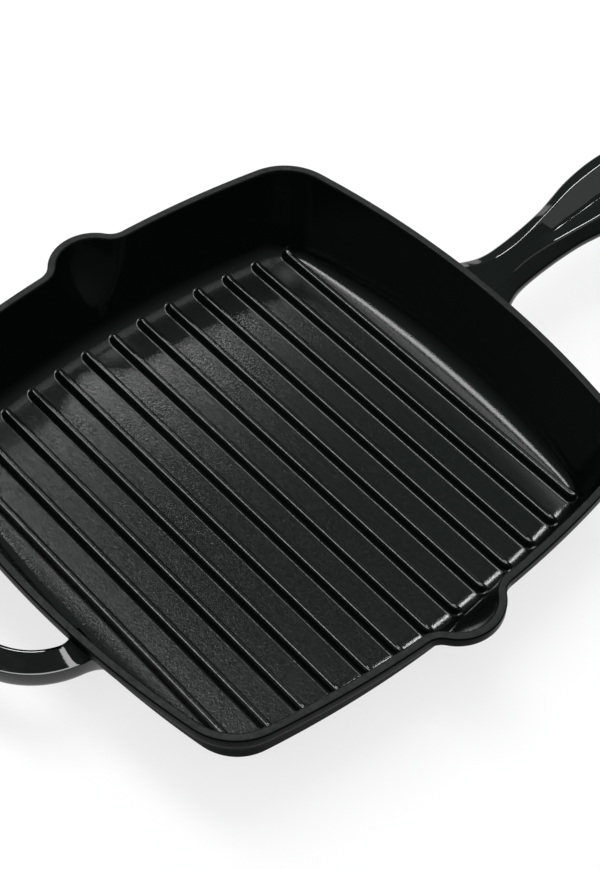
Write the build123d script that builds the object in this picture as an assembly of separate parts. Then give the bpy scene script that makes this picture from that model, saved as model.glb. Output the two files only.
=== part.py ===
from build123d import *
import math
import os

# Square grill pan with bowed sides, thirteen ribs, two pour spouts, a long handle and a
# helper loop. Millimetres. The origin is the middle of the resting face, +Z is up, the long
# handle points along +X, and the spouts are on the sides at +Y and -Y. The real pan is one
# casting, and each solid here is one of its features, cut where that feature ends.

# Pan
pan_length = 260.0
pan_width = 256.0
pan_height = 47.3
handle_side_bow_radius = 450.0
spout_side_bow_radius = 505.0
rim_corner_radius = 28.0
low_corner_radius = 28.0
wall_thickness = 3.2
wall_draft_degrees = 19.0
floor_thickness = 4.2
inside_corner_radius = 6.5
outside_corner_radius = 10.0

# Ground pad under the floor
pad_height = 0.8
pad_margin = 3.0
pad_corner_radius = 16.0

# Upright band round the top of the wall, a little thicker than the wall
rim_band_height = 5.5
rim_overhang = 0.6
rim_edge_radius = 0.9

# Pour spouts
spout_radius = 18.0
spout_reach = 11.0
spout_blend_radius = 12.0
spout_root_height = 20.5
spout_root_half_width = 3.2
spout_root_blend = 2.6
spout_seam_margin = 2.0

# Ribs
rib_count = 13
rib_wall_distance = 32.4
rib_height = 4.5
rib_base_width = 6.6
rib_crest_width = 2.6
rib_edge_radius = 0.9
rib_run_out = 3.7

# Long handle
handle_reach = 126.0
handle_root_width = 39.2
handle_neck_width = 24.8
handle_grip_width = 38.2
handle_end_radius = 14.0
handle_end_turn_degrees = 72.0
handle_sunk_length = 12.0
handle_top_drop = 2.2
handle_rise_degrees = 8.0
handle_level_run = 8.0
handle_bend_radius = 90.0
handle_thickness = 12.0
handle_root_depth = 20.0
handle_root_sweep = 34.0
handle_top_round = 4.6
handle_belly_round = 5.4
dish_width = 22.0
dish_depth = 1.9
dish_hole_gap = 1.5
hanging_hole_radius = 6.0
hanging_hole_edge = 1.2

# Half of the long handle's plan: how far out from the rim, as a share of the reach, and how
# far on from the neck's width to the root's, or from the neck's width to the grip's
root_plan_shares = ((-0.095, 1.89), (-0.048, 1.5), (0.0, 1.0), (0.048, 0.5), (0.103, 0.167))
neck_plan_share = 0.2
grip_plan_shares = ((0.34, 0.07), (0.46, 0.31), (0.57, 0.78), (0.7, 1.0))

# The dish in the grip: where it starts, as a share of the reach, and then how far along, how
# wide and how deep it is, as shares of its length, width and depth
dish_start_share = 0.33
dish_shares = (
    (0.0, 0.6, 0.02),
    (0.18, 0.71, 0.3),
    (0.35, 0.82, 0.7),
    (0.55, 0.97, 0.95),
    (0.75, 1.0, 1.0),
    (0.9, 0.88, 0.8),
    (1.0, 0.6, 0.02),
)

# Helper handle
loop_inner_radius = 30.0
loop_bar_width = 12.8
loop_bar_height = 11.6
loop_level = 30.5
loop_edge_round = 5.0
loop_root_flare = 9.0
loop_centre_inset = 9.0

# How far tools that cut run past the surface
overrun = 2.0

# Values worked out from the driving dimensions
draft = math.tan(math.radians(wall_draft_degrees))
corner_tangent_share = math.tan(math.radians((90 - wall_draft_degrees) / 2))
floor_top = pad_height + floor_thickness
half_length = pan_length / 2
half_width = pan_width / 2
wall_top = pan_height - rim_band_height
rib_pitch = (pan_length - 2 * rib_wall_distance) / (rib_count - 1)
hole_x = half_length + handle_reach - handle_end_radius
dish_start_x = half_length + dish_start_share * handle_reach
dish_end_x = hole_x - hanging_hole_radius - hanging_hole_edge - dish_hole_gap
handle_side_centre = Vector(half_length - handle_side_bow_radius, 0)
spout_side_centre = Vector(0, half_width - spout_side_bow_radius)
spout_centre = Vector(0, half_width + spout_reach - spout_radius)


def circles_meet(first, first_radius, second, second_radius):
    """The crossing of two circles that lies furthest towards +X."""
    between = second - first
    distance = between.length
    along = (first_radius**2 - second_radius**2 + distance**2) / (2 * distance)
    across = math.sqrt(first_radius**2 - along**2)
    unit = between.normalized()
    normal = Vector(-unit.Y, unit.X)
    ends = (first + unit * along + normal * across, first + unit * along - normal * across)
    return max(ends, key=lambda point: point.X)


def corner_centre(rim_radius):
    """The centre of a corner that touches both bowed sides, by its radius at the rim."""
    return circles_meet(
        handle_side_centre,
        handle_side_bow_radius - rim_radius,
        spout_side_centre,
        spout_side_bow_radius - rim_radius,
    )


blend_centre = circles_meet(
    spout_side_centre,
    spout_side_bow_radius + spout_blend_radius,
    spout_centre,
    spout_radius + spout_blend_radius,
)


def wall_inset(height):
    """How far the outside of the drafted wall has come in from the rim at a height."""
    return rim_overhang + (pan_height - height) * draft


def towards(start, target, distance):
    """The point at a distance from start on the line to target."""
    return start + (target - start).normalized() * distance


def side_point(x, inset):
    """The point of the +Y side at x, at an inset from the rim."""
    radius = spout_side_bow_radius - inset
    return spout_side_centre + Vector(x, math.sqrt(radius**2 - x**2))


def arc_about(centre, radius, start, end):
    """A circular arc of less than half a turn, from start to end."""
    return ThreePointArc(start, towards(centre, (start + end) / 2, radius), end)


def mirrored(edges, plane):
    """Copies of edges on the other side of a plane."""
    return [mirror(edge, about=plane) for edge in edges]


def plan_face(edges, height):
    """A flat face inside a closed run of edges, at a height."""
    flat = [edge for shape in edges for edge in shape.edges()]
    face = Face(Wire(flat))
    upright = face if face.normal_at().Z > 0 else -face
    return Pos(0, 0, height) * upright


# The corner low on the wall, as the radius that it would have out at the rim
low_rim_radius = low_corner_radius + wall_inset(spout_root_height)


def quarter_arcs(inset, rim_radius):
    """Half of the +X side, and the corner between it and the +Y side."""
    centre = corner_centre(rim_radius)
    side = towards(handle_side_centre, centre, handle_side_bow_radius - inset)
    back = towards(spout_side_centre, centre, spout_side_bow_radius - inset)
    middle = Vector(half_length - inset, 0)
    half_side = arc_about(handle_side_centre, handle_side_bow_radius - inset, middle, side)
    corner = arc_about(centre, rim_radius - inset, side, back)
    return half_side, corner, back


def plain_outline(inset, height, rim_radius=low_rim_radius):
    """The bowed square at an inset from the rim, as a face at a height."""
    half_side, corner, back = quarter_arcs(inset, rim_radius)
    middle = Vector(0, half_width - inset)
    half_back = arc_about(spout_side_centre, spout_side_bow_radius - inset, back, middle)
    quarter = [half_side, corner, half_back]
    half = quarter + mirrored(quarter, Plane.YZ)
    return plan_face(half + mirrored(half, Plane.XZ), height)


def spout_arcs(inset, back):
    """Half of the +Y side at the rim: the bowed side, the blend and half of the spout."""
    leave = towards(spout_side_centre, blend_centre, spout_side_bow_radius - inset)
    meet = towards(spout_centre, blend_centre, spout_radius - inset)
    tip = spout_centre + Vector(0, spout_radius - inset)
    side = arc_about(spout_side_centre, spout_side_bow_radius - inset, back, leave)
    blend = arc_about(blend_centre, spout_blend_radius + inset, leave, meet)
    return [side, blend, arc_about(spout_centre, spout_radius - inset, meet, tip)]


def flush_arcs(inset, back):
    """The same three arcs lower down, where the spout has died out in the wall."""
    radius = spout_side_bow_radius - inset
    stops = (
        back,
        side_point(spout_root_half_width + spout_root_blend, inset),
        side_point(spout_root_half_width, inset),
        side_point(0, inset),
    )
    return [arc_about(spout_side_centre, radius, *pair) for pair in zip(stops, stops[1:])]


def spouted_outline(inset, height, rim_radius, side_arcs):
    """The bowed square with the joints of both spouts in its +Y and -Y sides."""
    half_side, corner, back = quarter_arcs(inset, rim_radius)
    quarter = [half_side, corner] + side_arcs(inset, back)
    half = quarter + mirrored(quarter, Plane.YZ)
    return plan_face(half + mirrored(half, Plane.XZ), height)


def drafted_bowl(bottom, inset, corner_radius):
    """A drafted block with a rounded lower edge and both spouts standing out of it."""
    low_face = plain_outline(wall_inset(bottom) + inset, bottom)
    lower = extrude(low_face, spout_root_height - bottom, taper=-wall_draft_degrees)
    lower = fillet(lower.faces().sort_by(Axis.Z)[0].edges(), corner_radius)
    root_inset = wall_inset(spout_root_height) + inset
    root = spouted_outline(root_inset, spout_root_height, low_rim_radius, flush_arcs)
    rim_inset = wall_inset(pan_height) + inset
    rim = spouted_outline(rim_inset, pan_height, rim_corner_radius, spout_arcs)
    upper = Solid.make_loft([root.outer_wire(), rim.outer_wire()], ruled=True)
    return lower + upper, rim


def build_hull():
    """The outside of the pan as a full block, and the hollow that is taken out of it."""
    hull, _ = drafted_bowl(pad_height, 0, outside_corner_radius)
    hollow, mouth = drafted_bowl(floor_top, wall_thickness, inside_corner_radius)
    return hull, hollow + extrude(mouth, overrun)


def make_base_pad():
    """The ground flat that the pan stands on."""
    inset = wall_inset(pad_height) + outside_corner_radius * corner_tangent_share + pad_margin
    foot = plain_outline(inset, 0, pad_corner_radius + inset)
    return extrude(foot, pad_height)


def above(height):
    """A block that holds everything over a height."""
    size = pan_length + pan_width + handle_reach
    block = Box(size, size, pan_height, align=(Align.CENTER, Align.CENTER, Align.MIN))
    return Pos(0, 0, height) * block


def spout_region(sign):
    """A block round one spout's stretch of wall, from its root up to the rim band."""
    width = 2 * (blend_centre.X + spout_seam_margin)
    depth = spout_reach + spout_radius + spout_blend_radius
    height = wall_top - spout_root_height
    block = Box(width, depth, height, align=(Align.CENTER, Align.MAX, Align.MIN))
    block = Pos(0, half_width + spout_reach + overrun, spout_root_height) * block
    return block if sign > 0 else mirror(block, about=Plane.XZ)


def part_wall(shell):
    """The wall under the rim band as pan body and two spouts, meeting face to face."""
    below = shell - above(wall_top)
    spouts = [below & spout_region(sign) for sign in (1, -1)]
    for spout in spouts:
        below = below - spout
    return below, spouts


def make_rim_band(hollow):
    """The upright band on top of the wall, with its outer edges and its mouth eased."""
    outside = spouted_outline(0, wall_top, rim_corner_radius, spout_arcs)
    band = extrude(outside, rim_band_height) - hollow
    levels = band.faces().filter_by(Axis.Z).sort_by(Axis.Z)
    return fillet(levels[-1].edges() + levels[0].outer_wire().edges(), rim_edge_radius)


def rib_half_length(x):
    """How far a rib reaches from the middle, where it runs up the inside corner."""
    flat_inset = wall_inset(floor_top) + wall_thickness
    flat_inset += inside_corner_radius * corner_tangent_share
    return side_point(x, flat_inset - rib_run_out).Y


def make_rib(x, hollow):
    """One drafted rib with rounded ends, trimmed to the floor and its rounded corner."""
    flank_degrees = math.degrees(math.atan2(rib_base_width - rib_crest_width, 2 * rib_height))
    spread = overrun * math.tan(math.radians(flank_degrees))
    width = rib_base_width + 2 * spread
    length = 2 * (rib_half_length(x) + spread)
    foot = Pos(x, 0, floor_top - overrun) * (Rot(0, 0, 90) * SlotOverall(length, width))
    rib = extrude(foot, rib_height + overrun, taper=flank_degrees)
    rib = fillet(rib.faces().sort_by(Axis.Z)[-1].edges(), rib_edge_radius)
    return rib & hollow


def handle_plan_points():
    """One side of the long handle's plan, from inside the wall to the widest part of the grip."""
    neck = handle_neck_width / 2
    flare = handle_root_width / 2 - neck
    swell = handle_grip_width / 2 - neck
    steps = [(share, neck + wide * flare) for share, wide in root_plan_shares]
    steps += [(neck_plan_share, neck)]
    steps += [(share, neck + wide * swell) for share, wide in grip_plan_shares]
    return [Vector(half_length + share * handle_reach, wide) for share, wide in steps]


def handle_plan():
    """The long handle seen from above, as a flat face."""
    turn = math.radians(handle_end_turn_degrees)
    outward = Vector(math.cos(turn), math.sin(turn))
    centre = Vector(hole_x, 0)
    join = centre + outward * handle_end_radius
    points = handle_plan_points()
    leaving = points[1] - points[0]
    side = Spline(*points, join, tangents=(leaving, Vector(outward.Y, -outward.X)))
    other_side = mirror(side, about=Plane.XZ)
    tip = ThreePointArc(side @ 1, centre + Vector(handle_end_radius, 0), other_side @ 1)
    root = Line(side @ 0, other_side @ 0)
    return plan_face([side, tip, other_side, root], 0)


def rising_line():
    """Where the long handle's sloping top starts, seen from the side, and its direction."""
    rise = math.radians(handle_rise_degrees)
    bend_x = half_length + handle_level_run + handle_bend_radius * math.sin(rise)
    bend_z = pan_height - handle_top_drop + handle_bend_radius * (1 - math.cos(rise))
    return Vector(bend_x, bend_z), Vector(math.cos(rise), math.sin(rise))


def handle_side_view():
    """The long handle seen from the side: level at the rim, then rising to its end."""
    top = pan_height - handle_top_drop
    start_x = half_length - handle_sunk_length
    bend_end, slope = rising_line()
    down = Vector(slope.Y, -slope.X) * handle_thickness
    far = bend_end + slope * handle_reach
    level = Line(Vector(start_x, top), Vector(half_length + handle_level_run, top))
    bend = TangentArc(level @ 1, bend_end, tangent=level % 1)
    rising = Line(bend_end, far)
    end = Line(far, far + down)
    belly = Line(far + down, bend_end + slope * handle_root_sweep + down)
    sweep = TangentArc(belly @ 1, Vector(start_x, top - handle_root_depth), tangent=belly % 1)
    root = Line(sweep @ 1, level @ 0)
    shapes = (level, bend, rising, end, belly, sweep, root)
    edges = [edge for shape in shapes for edge in shape.edges()]
    return Rot(90, 0, 0) * Face(Wire(edges))


def facing(solid, direction):
    """The faces of the long handle that look up (1), down (-1) or out to the side (0)."""
    root = solid.faces().sort_by(Axis.X)[0]
    others = [face for face in solid.faces() if not face.is_same(root)]
    return [face for face in others if round(face.normal_at().Z) == direction]


def edges_between(first, second):
    """The edges that two groups of faces share."""
    others = [edge for face in second for edge in face.edges()]
    mine = [edge for face in first for edge in face.edges()]
    return [edge for edge in mine if any(edge.is_same(other) for other in others)]


def top_of_grip(x):
    """The height of the long handle's sloping top at x."""
    start, slope = rising_line()
    return start.Y + (x - start.X) * slope.Y / slope.X


def dish_section(along, wide, deep):
    """One cross-section of the dish: a shallow arc below, and a box over the surface."""
    x = dish_start_x + along * (dish_end_x - dish_start_x)
    z = top_of_grip(x)
    half = wide * dish_width / 2
    corners = [Vector(x, half, z), Vector(x, half, z + overrun)]
    corners += [Vector(x, -half, z + overrun), Vector(x, -half, z)]
    bottom = ThreePointArc(corners[3], Vector(x, 0, z - deep * dish_depth), corners[0])
    return Wire(bottom.edges() + Polyline(*corners).edges())


def hanging_hole():
    """A pin through the outer end of the long handle, square to its sloping top."""
    pin = Cylinder(hanging_hole_radius, 4 * handle_thickness)
    return Pos(hole_x, 0, top_of_grip(hole_x)) * Rot(0, -handle_rise_degrees, 0) * pin


def make_long_handle(hull, band):
    """The long handle with rounded edges, a dished grip and a hanging hole."""
    side_view = extrude(handle_side_view(), handle_root_width, both=True)
    handle = side_view & extrude(handle_plan(), 2 * pan_height)
    handle = fillet(edges_between(facing(handle, 0), facing(handle, -1)), handle_belly_round)
    handle = fillet(edges_between(facing(handle, 0), facing(handle, 1)), handle_top_round)
    handle = handle - Solid.make_loft([dish_section(*shares) for shares in dish_shares])
    handle = handle - hanging_hole()
    hole_edges = handle.edges().filter_by(GeomType.CIRCLE).sort_by(Axis.X)[-2:]
    return fillet(hole_edges, hanging_hole_edge) - hull - band


def loop_outline():
    """The half ring seen from above, run into the wall with a flare at each of its roots."""
    wall = plain_outline(wall_inset(loop_level - loop_bar_height / 2), 0)
    ring = Circle(loop_inner_radius + loop_bar_width) - Circle(loop_inner_radius)
    outline = wall + Pos(loop_centre_inset - half_length, 0, 0) * ring
    roots = outline.vertices().sort_by(Axis.X)[:4]
    return fillet(roots, loop_root_flare)


def make_helper_handle(hull):
    """The half-ring handle, rounded along the bar and flared where it leaves the wall."""
    low = loop_level - loop_bar_height / 2
    loop = extrude(Pos(0, 0, low) * loop_outline(), loop_bar_height)
    levels = loop.faces().filter_by(Axis.Z)
    loop = fillet([edge for face in levels for edge in face.edges()], loop_edge_round)
    return loop - hull


if __name__ == "__main__":
    hull, hollow = build_hull()
    shell = hull - hollow
    body, spouts = part_wall(shell)
    band = make_rim_band(hollow)
    os.makedirs("parts", exist_ok=True)
    export_step(body, "parts/pan_body.step")
    export_step(band, "parts/rim_band.step")
    export_step(spouts[0], "parts/pour_spout_left.step")
    export_step(spouts[1], "parts/pour_spout_right.step")
    export_step(make_base_pad(), "parts/base_pad.step")
    export_step(make_long_handle(hull, band), "parts/long_handle.step")
    export_step(make_helper_handle(hull), "parts/helper_handle.step")
    for index in range(rib_count):
        x = ((rib_count - 1) / 2 - index) * rib_pitch
        export_step(make_rib(x, hollow), f"parts/grill_rib_{index + 1:02d}.step")
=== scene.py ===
# %% [markdown]
# # A square grill pan
# The real pan is one iron casting under a coat of fired black enamel: satin inside, matte on
# the wiped rim, glossy on both handles. The CAD model is loaded first and never moved. Each
# piece below is then built over its CAD node with a finer surface, in the same place, so that
# the enamel can catch the light the way the real one does.

# %% Load the frame
import math

import bmesh
import bpy
import numpy as np
from mathutils import Matrix, Vector


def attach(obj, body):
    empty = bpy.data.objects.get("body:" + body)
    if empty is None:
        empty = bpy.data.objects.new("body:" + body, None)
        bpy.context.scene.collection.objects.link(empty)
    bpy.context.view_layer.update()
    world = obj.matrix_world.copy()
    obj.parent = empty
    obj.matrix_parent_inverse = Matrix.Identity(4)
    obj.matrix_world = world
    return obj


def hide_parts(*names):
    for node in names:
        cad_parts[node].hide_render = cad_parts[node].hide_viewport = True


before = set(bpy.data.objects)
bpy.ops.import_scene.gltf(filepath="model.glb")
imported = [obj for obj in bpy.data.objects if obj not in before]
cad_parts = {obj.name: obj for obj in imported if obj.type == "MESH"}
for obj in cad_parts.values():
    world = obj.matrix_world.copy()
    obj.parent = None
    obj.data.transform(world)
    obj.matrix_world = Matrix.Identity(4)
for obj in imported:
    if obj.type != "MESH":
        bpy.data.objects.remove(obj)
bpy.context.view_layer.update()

# %% [markdown]
# ## Camera
# The photograph looks down on the pan from over its front left corner, with a long lens and a
# slight roll. The place and angles were fitted to the rim, the ribs and the spouts.

# %% Place the camera
CAMERA_PLACE, CAMERA_LENS = (-0.3610, -0.4044, 0.7114), 83.06
AZIMUTH, ELEVATION, ROLL = -43.443, 51.168, 2.783


def place_camera(place, azimuth, elevation, roll, lens):
    a, e, r = (math.radians(v) for v in (azimuth, elevation, roll))
    back = Vector((math.sin(a) * math.cos(e), -math.cos(a) * math.cos(e), math.sin(e)))
    level = Vector((math.cos(a), math.sin(a), 0))
    over = back.cross(level)
    right = level * math.cos(r) + over * math.sin(r)
    up = over * math.cos(r) - level * math.sin(r)
    camera = bpy.data.objects.new("camera", bpy.data.cameras.new("camera"))
    bpy.context.scene.collection.objects.link(camera)
    turned = Matrix((right, up, back)).transposed().to_4x4()
    camera.matrix_world = Matrix.Translation(place) @ turned
    camera.data.lens = lens
    camera.data.clip_end = 20
    bpy.context.scene.camera = camera
    return camera


camera = place_camera(CAMERA_PLACE, AZIMUTH, ELEVATION, ROLL, CAMERA_LENS)
print("camera at", tuple(round(v, 3) for v in camera.location), "lens", camera.data.lens)

# %% [markdown]
# ## Studio
# One long soft box hangs flat under the ceiling, with a dim one beside it. Enamel shows its
# lights as reflections, so the long one hangs where its mirror image falls on every edge that
# leans towards the near left: the rib crests, the feet of the ribs and the rounded corner
# under the far wall. A small, bright panel draws the thin lines along the long handle. A broad
# fill from the near side whitens the floor, and it is kept out of the enamel's reflections.

# %% Light the pan
def soft_box(name, place, target, size, power):
    lamp = bpy.data.lights.new(name, "AREA")
    lamp.shape = "RECTANGLE"
    lamp.size, lamp.size_y = size
    lamp.energy = power
    holder = bpy.data.objects.new(name, lamp)
    holder.location = place
    aim = Vector(target) - Vector(place)
    if aim.xy.length > 1e-6:
        holder.rotation_euler = aim.to_track_quat("-Z", "Y").to_euler()
    bpy.context.scene.collection.objects.link(holder)
    return holder


def broad_sun(name, direction, angle, strength):
    lamp = bpy.data.lights.new(name, "SUN")
    lamp.angle = math.radians(angle)
    lamp.energy = strength
    holder = bpy.data.objects.new(name, lamp)
    holder.rotation_euler = (-Vector(direction)).to_track_quat("-Z", "Y").to_euler()
    bpy.context.scene.collection.objects.link(holder)
    return holder


def face_power(radiance, size):
    """The power that makes a soft box's face this bright."""
    return radiance * math.pi * size[0] * size[1]


def ceiling_box(name, place, size, radiance):
    """A soft box that faces straight down."""
    return soft_box(name, place, (place[0], place[1], 0), size, face_power(radiance, size))


PAN_MIDDLE, NECK_TOP = (0, 0, 0), (0.19, 0, 0.05)
HANDLE_PANEL_SIZE = (0.55, 0.8)

ceiling_box("key_strip", (0.23, 1.2, 3.0), (0.94, 2.5), radiance=8.8)
ceiling_box("dim_panel", (1.25, 0.05, 3.0), (0.8, 1.7), radiance=0.7)
soft_box("low_panel", (2.34, 0.85, 1.68), PAN_MIDDLE, (0.5, 0.5), power=2.0)
handle_power = face_power(26, HANDLE_PANEL_SIZE)
soft_box("handle_panel", (2.0, 3.06, 3.0), NECK_TOP, HANDLE_PANEL_SIZE, handle_power)
fill = broad_sun("near_fill", (-0.5, -0.5, 0.9), angle=80, strength=1.9)
fill.visible_glossy = False

# %% [markdown]
# The world is a dim studio with a slightly green grey ceiling, darker towards the horizon. The
# flat parts of the pan reflect the ceiling, and the inner walls reflect what is lower down.

# %% Make the studio's walls
CEILING = (0.3, 0.3, 0.905)
SHADES = ((0.0, 0.04), (0.22, 0.07), (0.44, 0.12), (0.7, 0.2), (0.97, 0.22))
GREEN_GREY = (0.84, 1.03, 0.97)


def studio_world():
    world = bpy.data.worlds.new("studio")
    world.use_nodes = True
    nodes, links = world.node_tree.nodes, world.node_tree.links
    nodes.clear()
    place = nodes.new("ShaderNodeTexCoord")
    lean = nodes.new("ShaderNodeVectorMath")
    lean.operation = "DOT_PRODUCT"
    lean.inputs[1].default_value = CEILING
    ramp = nodes.new("ShaderNodeValToRGB")
    sky = nodes.new("ShaderNodeBackground")
    out = nodes.new("ShaderNodeOutputWorld")
    links.new(place.outputs["Generated"], lean.inputs[0])
    links.new(lean.outputs["Value"], ramp.inputs[0])
    links.new(ramp.outputs[0], sky.inputs["Color"])
    links.new(sky.outputs[0], out.inputs["Surface"])
    while len(ramp.color_ramp.elements) < len(SHADES):
        ramp.color_ramp.elements.new(0.5)
    for element, (height, grey) in zip(ramp.color_ramp.elements, SHADES):
        element.position = height
        element.color = (*(grey * tint for tint in GREEN_GREY), 1)
    bpy.context.scene.world = world


studio_world()
bpy.context.scene.view_settings.view_transform = "Standard"
print("world:", bpy.context.scene.world.name)

# %% [markdown]
# The floor is white paper. Part of its white is its own, so that the picture's ground is as
# white as the photograph's, and the rest is lit, so that the pan's soft shadow stays on it.

# %% Lay the floor
BACKDROP_SHARE, PAPER, FLOOR_HALF = 0.72, 0.9, 6.0


def lay_floor(half):
    mesh = bpy.data.meshes.new("floor")
    corners = [(-half, -half, 0), (half, -half, 0), (half, half, 0), (-half, half, 0)]
    mesh.from_pydata(corners, [], [(0, 1, 2, 3)])
    floor = bpy.data.objects.new("floor", mesh)
    bpy.context.scene.collection.objects.link(floor)
    paint = bpy.data.materials.new("floor_white")
    paint.use_nodes = True
    nodes, links = paint.node_tree.nodes, paint.node_tree.links
    shader = nodes["Principled BSDF"]
    shader.inputs["Base Color"].default_value = (PAPER, PAPER, PAPER, 1)
    shader.inputs["Roughness"].default_value = 1.0
    shader.inputs["Specular IOR Level"].default_value = 0.0
    path = nodes.new("ShaderNodeLightPath")
    seen = path.outputs["Is Camera Ray"]
    for kind in ("Is Glossy Ray", "Is Transmission Ray"):
        add = nodes.new("ShaderNodeMath")
        links.new(seen, add.inputs[0])
        links.new(path.outputs[kind], add.inputs[1])
        seen = add.outputs[0]
    white = nodes.new("ShaderNodeEmission")
    share = nodes.new("ShaderNodeMath")
    share.operation = "MULTIPLY"
    share.inputs[1].default_value = BACKDROP_SHARE
    mix = nodes.new("ShaderNodeMixShader")
    links.new(seen, share.inputs[0])
    links.new(share.outputs[0], mix.inputs[0])
    links.new(shader.outputs[0], mix.inputs[1])
    links.new(white.outputs[0], mix.inputs[2])
    links.new(mix.outputs[0], nodes["Material Output"].inputs["Surface"])
    mesh.materials.append(paint)
    return floor


floor = lay_floor(FLOOR_HALF)
print("floor laid at z =", floor.location.z)

# %% [markdown]
# ## Finishes
# Fired enamel is glass on iron. Inside the pan it is satin, with a fine grain that breaks each
# light into specks. On the handles it is glossy and a little wavy. Under the rim the
# photograph shows a dark wall and no white floor in it, so the enamel there, and less so on
# the rim's outer face, reflects much less than glass does. The rim's top was wiped before
# firing and is a dry, matte grey. Noise scales are in features per metre and bump distances
# in metres.

# %% Helpers for materials
def new_paint(name):
    paint = bpy.data.materials.new(name)
    paint.use_nodes = True
    return paint, paint.node_tree, paint.node_tree.nodes["Principled BSDF"]


def noise(tree, scale, detail=3):
    place = tree.nodes.get("Texture Coordinate") or tree.nodes.new("ShaderNodeTexCoord")
    grain = tree.nodes.new("ShaderNodeTexNoise")
    grain.inputs["Scale"].default_value = scale
    grain.inputs["Detail"].default_value = detail
    grain.inputs["Roughness"].default_value = 0.5
    tree.links.new(place.outputs["Object"], grain.inputs["Vector"])
    return grain.outputs["Fac"]


def spread(tree, value, low, high):
    """A noise value, which is mostly between 0.3 and 0.7, spread from low to high."""
    ranged = tree.nodes.new("ShaderNodeMapRange")
    ranged.inputs["From Min"].default_value = 0.3
    ranged.inputs["From Max"].default_value = 0.7
    ranged.inputs["To Min"].default_value = low
    ranged.inputs["To Max"].default_value = high
    tree.links.new(value, ranged.inputs["Value"])
    return ranged.outputs["Result"]


def blend_colours(tree, factor, first, second):
    mix = tree.nodes.new("ShaderNodeMix")
    mix.data_type = "RGBA"
    mix.inputs["A"].default_value = (*first, 1)
    mix.inputs["B"].default_value = (*second, 1)
    tree.links.new(factor, mix.inputs["Factor"])
    return mix.outputs["Result"]


def bump(tree, height, distance, under=None):
    node = tree.nodes.new("ShaderNodeBump")
    node.inputs["Distance"].default_value = distance
    tree.links.new(height, node.inputs["Height"])
    if under is not None:
        tree.links.new(under, node.inputs["Normal"])
    return node.outputs["Normal"]

# %% [markdown]
# Each enamel is one shader. Noise shifts its colour and roughness a little, and two bumps
# disturb its reflections, because a fired coat is never perfectly even.

# %% Mix the enamels
SATIN = (0.0009, 0.0015, 0.0013), (0.0019, 0.0027, 0.0025)
GLOSS = (0.0008, 0.001, 0.001), (0.0016, 0.002, 0.002)


def satin_enamel():
    paint, tree, shader = new_paint("satin_enamel")
    colour = blend_colours(tree, noise(tree, scale=600, detail=2), *SATIN)
    tree.links.new(colour, shader.inputs["Base Color"])
    sheen = spread(tree, noise(tree, scale=900, detail=2), low=0.11, high=0.18)
    tree.links.new(sheen, shader.inputs["Roughness"])
    grain = bump(tree, noise(tree, scale=1500), distance=0.00006)
    ripple = bump(tree, noise(tree, scale=700, detail=2), distance=0.000008, under=grain)
    tree.links.new(ripple, shader.inputs["Normal"])
    return paint


def gloss_enamel(name="gloss_enamel", glass=1.5, low=0.03, pale=1.0):
    """Smooth enamel: glass is its index of refraction, low its least roughness."""
    paint, tree, shader = new_paint(name)
    dark, light = ([value * pale for value in shade] for shade in GLOSS)
    colour = blend_colours(tree, noise(tree, scale=400, detail=2), dark, light)
    tree.links.new(colour, shader.inputs["Base Color"])
    sheen = spread(tree, noise(tree, scale=300, detail=2), low=low, high=low + 0.02)
    tree.links.new(sheen, shader.inputs["Roughness"])
    shader.inputs["IOR"].default_value = glass
    wave = bump(tree, noise(tree, scale=60, detail=1), distance=0.00003)
    ripple = bump(tree, noise(tree, scale=700, detail=2), distance=0.000006, under=wave)
    tree.links.new(ripple, shader.inputs["Normal"])
    return paint


satin, gloss = satin_enamel(), gloss_enamel()
outside = gloss_enamel("outside_enamel", glass=1.01, low=0.3, pale=2.5)
lip = gloss_enamel("lip_enamel", glass=1.1, low=0.24)
print("enamels:", [m.name for m in (satin, gloss, outside, lip)])

# %% [markdown]
# The wiped rim is dry and has a deeper grain. The ground base is worn and a little paler.

# %% Mix the dry finishes
MATTE = (0.003, 0.0035, 0.0034), (0.015, 0.0164, 0.016)
GROUND = (0.018, 0.018, 0.019), (0.035, 0.035, 0.036)


def matte_rim():
    paint, tree, shader = new_paint("matte_rim")
    colour = blend_colours(tree, noise(tree, scale=1100), *MATTE)
    tree.links.new(colour, shader.inputs["Base Color"])
    sheen = spread(tree, noise(tree, scale=500, detail=2), low=0.5, high=0.7)
    tree.links.new(sheen, shader.inputs["Roughness"])
    shader.inputs["IOR"].default_value = 1.3
    grain = bump(tree, noise(tree, scale=1200), distance=0.0001)
    tree.links.new(grain, shader.inputs["Normal"])
    return paint


def ground_base():
    paint, tree, shader = new_paint("ground_base")
    colour = blend_colours(tree, noise(tree, scale=60, detail=4), *GROUND)
    tree.links.new(colour, shader.inputs["Base Color"])
    sheen = spread(tree, noise(tree, scale=220), low=0.4, high=0.62)
    tree.links.new(sheen, shader.inputs["Roughness"])
    grain = bump(tree, noise(tree, scale=900), distance=0.00006)
    tree.links.new(grain, shader.inputs["Normal"])
    return paint


matte, ground = matte_rim(), ground_base()
print("dry finishes:", matte.name, ground.name)

# %% [markdown]
# ## Sizes
# All sizes are in millimetres here, the same as in the CAD source, and become metres when a
# mesh is made.

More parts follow.
